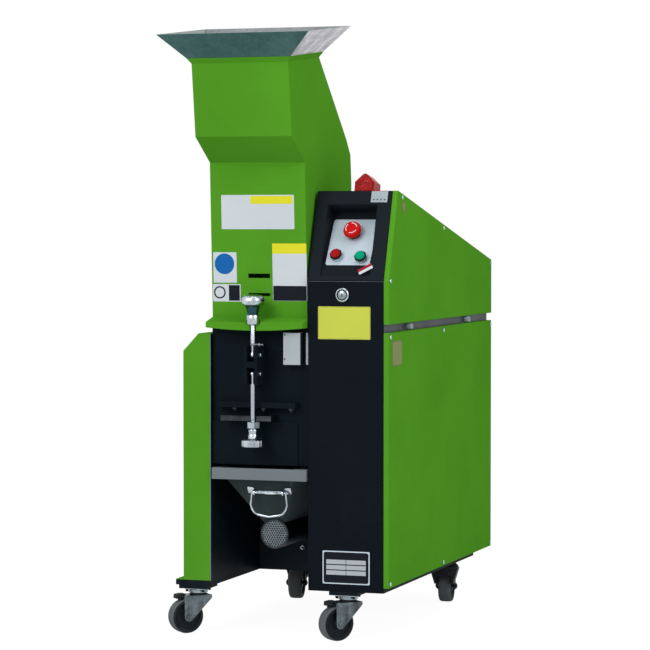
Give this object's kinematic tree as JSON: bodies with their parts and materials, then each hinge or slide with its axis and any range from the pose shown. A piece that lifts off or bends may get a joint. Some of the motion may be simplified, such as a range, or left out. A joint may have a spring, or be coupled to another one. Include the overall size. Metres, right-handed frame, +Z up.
{
  "type": "plastic crusher",
  "caption": "Low-speed plastic crusher on casters: leaning feed hopper with flared mouth, cutting chamber, pull-out bin with suction pipe, and a tall cabinet with slanted controls.",
  "frame": {"origin": "on the floor, under the middle of the machine's overall box", "axes": "+Z up; the operator's side faces -Y; +X to the operator's right, where the electrical cabinet stands"},
  "size_m": [0.5074, 0.9826, 1.3255],
  "materials": {
    "green_paint": "semi-gloss bright mid green powder coat",
    "black_paint": "glossy blue-black powder coat",
    "stainless": "brushed stainless sheet",
    "chamber_steel": "dark painted machined plate",
    "cutter_steel": "ground tool steel",
    "bin_steel": "bent sheet steel",
    "grey_paint": "mid grey paint",
    "plate_grey": "light grey satin plate",
    "chrome": "bright plated",
    "zinc": "zinc plated pressings",
    "bezel_black": "black moulded rings",
    "button_red": "red moulded plastic",
    "button_green": "green moulded plastic",
    "lamp_red": "red faceted lens",
    "wheel_rubber": "black rubber tread"
  },
  "bodies": {
    "machine": {"base_left_rail": "black_paint", "base_rear_deck": "black_paint", "base_right_rail": "black_paint", "bin_runners": "bin_steel", "button_bezels": "bezel_black", "button_plate": "plate_grey", "cabinet_door": "black_paint", "cabinet_shell": "black_paint", "cabinet_side_rail": "black_paint", "caster_pads": "black_paint", "caster_plates": "zinc", "chamber_front_plate": "chamber_steel", "chamber_rear_plate": "chamber_steel", "chamber_side_plate": "chamber_steel", "clamp_bracket": "black_paint", "control_panel": "black_paint", "cutter_rotor": "cutter_steel", "door_lock": "chrome", "front_comb": "cutter_steel", "hopper_body": "green_paint", "hopper_mouth": "stainless", "hopper_skirt": "green_paint", "lamp_base": "plate_grey", "left_cover": "green_paint", "left_wall": "chamber_steel", "lower_cover": "black_paint", "mid_flange": "chamber_steel", "rear_comb": "cutter_steel", "rear_cover": "green_paint", "rear_cross_plate": "black_paint", "screen_bar": "chamber_steel", "side_cover_lower": "green_paint", "side_cover_upper": "green_paint", "switch_cover": "plate_grey", "warning_lamp": "lamp_red"},
    "bin": {"bin_front_bar": "grey_paint", "bin_body": "bin_steel", "suction_pipe": "zinc", "perforated_cap": "zinc", "bin_handle_plate": "grey_paint"},
    "bail": {"bin_bail": "zinc"},
    "upper_bolt": {"upper_swing_bolt": "chrome", "upper_knob": "chrome"},
    "lower_bolt": {"lower_swing_bolt": "chrome", "lower_hand_wheel": "chrome"},
    "emergency_stop_head": {"emergency_stop": "button_red"},
    "stop_push": {"stop_button": "button_red"},
    "start_push": {"start_button": "button_green"},
    "fork_front_left": {"caster_fork_front_left": "zinc"},
    "wheel_front_left": {"caster_wheel_front_left": "wheel_rubber"},
    "fork_front_right": {"caster_fork_front_right": "zinc"},
    "wheel_front_right": {"caster_wheel_front_right": "wheel_rubber"},
    "fork_rear_right": {"caster_fork_rear_right": "zinc"},
    "wheel_rear_right": {"caster_wheel_rear_right": "wheel_rubber"},
    "fork_rear_left": {"caster_fork_rear_left": "zinc"},
    "wheel_rear_left": {"caster_wheel_rear_left": "wheel_rubber"}
  },
  "joints": [
    {"name": "bin_slide", "type": "slide", "parent": "machine", "child": "bin", "axis": [0, -1, 0], "range_m": [0, 0.25]},
    {"name": "bail_swing", "type": "hinge", "parent": "bin", "child": "bail", "pos_m": [-0.0278, -0.31326, 0.31256], "axis": [-1, 0, 0], "range_deg": [0, 100]},
    {"name": "upper_bolt_swing", "type": "hinge", "parent": "machine", "child": "upper_bolt", "pos_m": [-0.0458, -0.36374, 0.614], "axis": [1, 0, 0], "range_deg": [0, 80]},
    {"name": "lower_bolt_swing", "type": "hinge", "parent": "machine", "child": "lower_bolt", "pos_m": [-0.0458, -0.36374, 0.573], "axis": [-1, 0, 0], "range_deg": [0, 80]},
    {"name": "emergency_stop_press", "type": "slide", "parent": "machine", "child": "emergency_stop_head", "axis": [0, 0.8398, -0.5429], "range_m": [0, 0.0035], "stiffness_N_per_m": 1200},
    {"name": "stop_press", "type": "slide", "parent": "machine", "child": "stop_push", "axis": [0, 0.8398, -0.5429], "range_m": [0, 0.0035], "stiffness_N_per_m": 800},
    {"name": "start_press", "type": "slide", "parent": "machine", "child": "start_push", "axis": [0, 0.8398, -0.5429], "range_m": [0, 0.0035], "stiffness_N_per_m": 800},
    {"name": "front_left_swivel", "type": "hinge", "parent": "machine", "child": "fork_front_left", "pos_m": [-0.1968, -0.30174, 0.0957], "axis": [0, 0, 1], "continuous": true},
    {"name": "front_left_roll", "type": "hinge", "parent": "fork_front_left", "child": "wheel_front_left", "pos_m": [-0.21838, -0.32258, 0.0375], "axis": [-0.6947, 0.7193, 0], "continuous": true},
    {"name": "front_right_swivel", "type": "hinge", "parent": "machine", "child": "fork_front_right", "pos_m": [0.1492, -0.30174, 0.0957], "axis": [0, 0, 1], "continuous": true},
    {"name": "front_right_roll", "type": "hinge", "parent": "fork_front_right", "child": "wheel_front_right", "pos_m": [0.12951, -0.32438, 0.0375], "axis": [-0.7547, 0.6561, 0], "continuous": true},
    {"name": "rear_right_swivel", "type": "hinge", "parent": "machine", "child": "fork_rear_right", "pos_m": [0.1892, 0.30626, 0.0957], "axis": [0, 0, 1], "continuous": true},
    {"name": "rear_right_roll", "type": "hinge", "parent": "fork_rear_right", "child": "wheel_rear_right", "pos_m": [0.18502, 0.33597, 0.0375], "axis": [0.9903, 0.1392, 0], "continuous": true},
    {"name": "rear_left_swivel", "type": "hinge", "parent": "machine", "child": "fork_rear_left", "pos_m": [-0.1748, 0.30626, 0.0957], "axis": [0, 0, 1], "continuous": true},
    {"name": "rear_left_roll", "type": "hinge", "parent": "fork_rear_left", "child": "wheel_rear_left", "pos_m": [-0.17011, 0.27663, 0.0375], "axis": [-0.9877, -0.1564, 0], "continuous": true}
  ]
}
